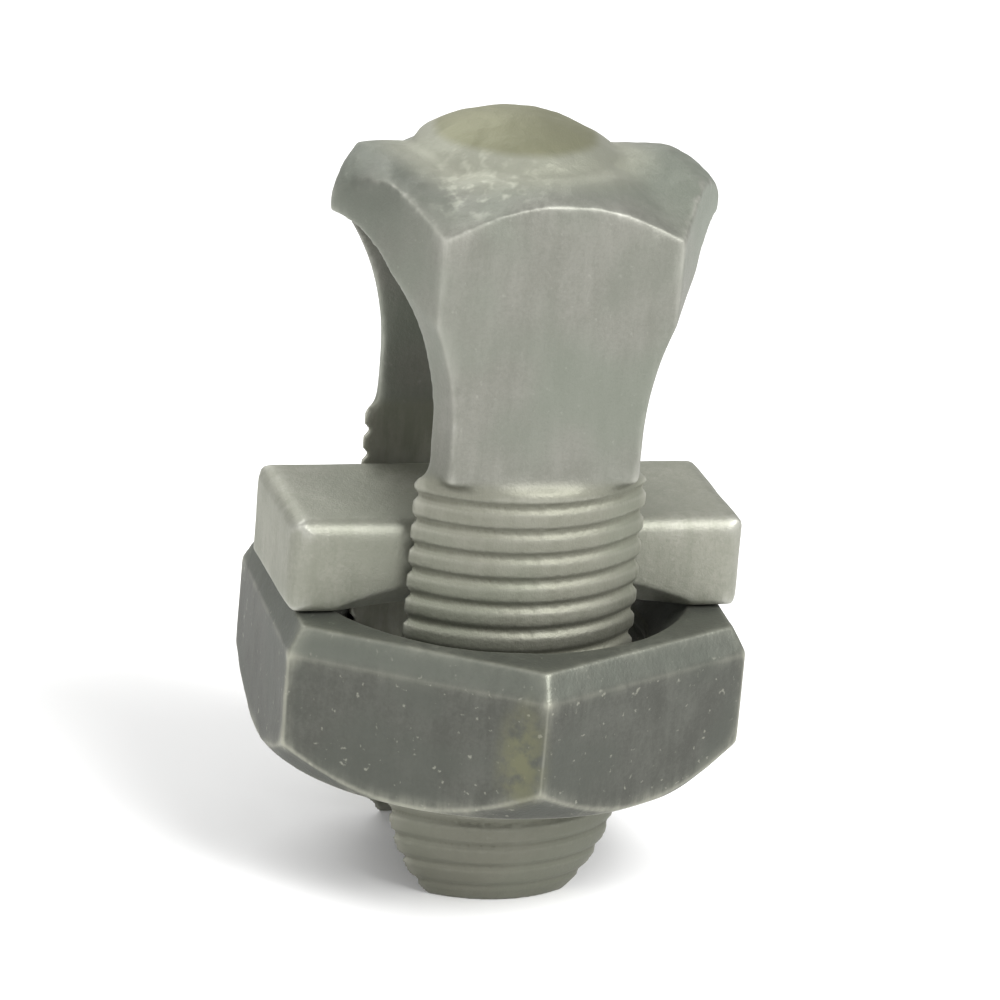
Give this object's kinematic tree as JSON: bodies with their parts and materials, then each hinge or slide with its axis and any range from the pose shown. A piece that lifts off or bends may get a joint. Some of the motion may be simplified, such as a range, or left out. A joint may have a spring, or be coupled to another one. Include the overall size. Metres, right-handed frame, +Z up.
{
  "type": "split bolt connector",
  "caption": "Split bolt connector: a slotted, threaded bolt, a pressure bar that slides in its slot and a hex nut that clamps two stranded conductors under the head.",
  "frame": {"origin": "on the bolt's axis, level with the ends of its two legs", "axes": "+Z up the bolt's axis to its head, +X along the conductor slot, +Y across the slot to the rear leg"},
  "size_m": [0.026, 0.0292, 0.0427],
  "materials": {
    "bolt_tin": "satin",
    "bar_tin": "satin",
    "nut_tin": "satin"
  },
  "bodies": {
    "bolt": {"bolt_body": "bolt_tin"},
    "bar": {"pressure_bar": "bar_tin"},
    "nut": {"hex_nut": "nut_tin"}
  },
  "joints": [
    {"name": "bar_slide", "type": "slide", "parent": "bolt", "child": "bar", "axis": [0, 0, 1], "range_m": [-0.0071, 0.0078]},
    {"name": "nut_turn", "type": "hinge", "parent": "bar", "child": "nut", "pos_m": [0, 0, 0.0117], "axis": [0, 0, 1], "range_deg": [-1800, 1980]}
  ],
  "couplings": [
    {"joint": "bar_slide", "follows": "nut_turn", "m_per_rad": 0.00022282}
  ]
}
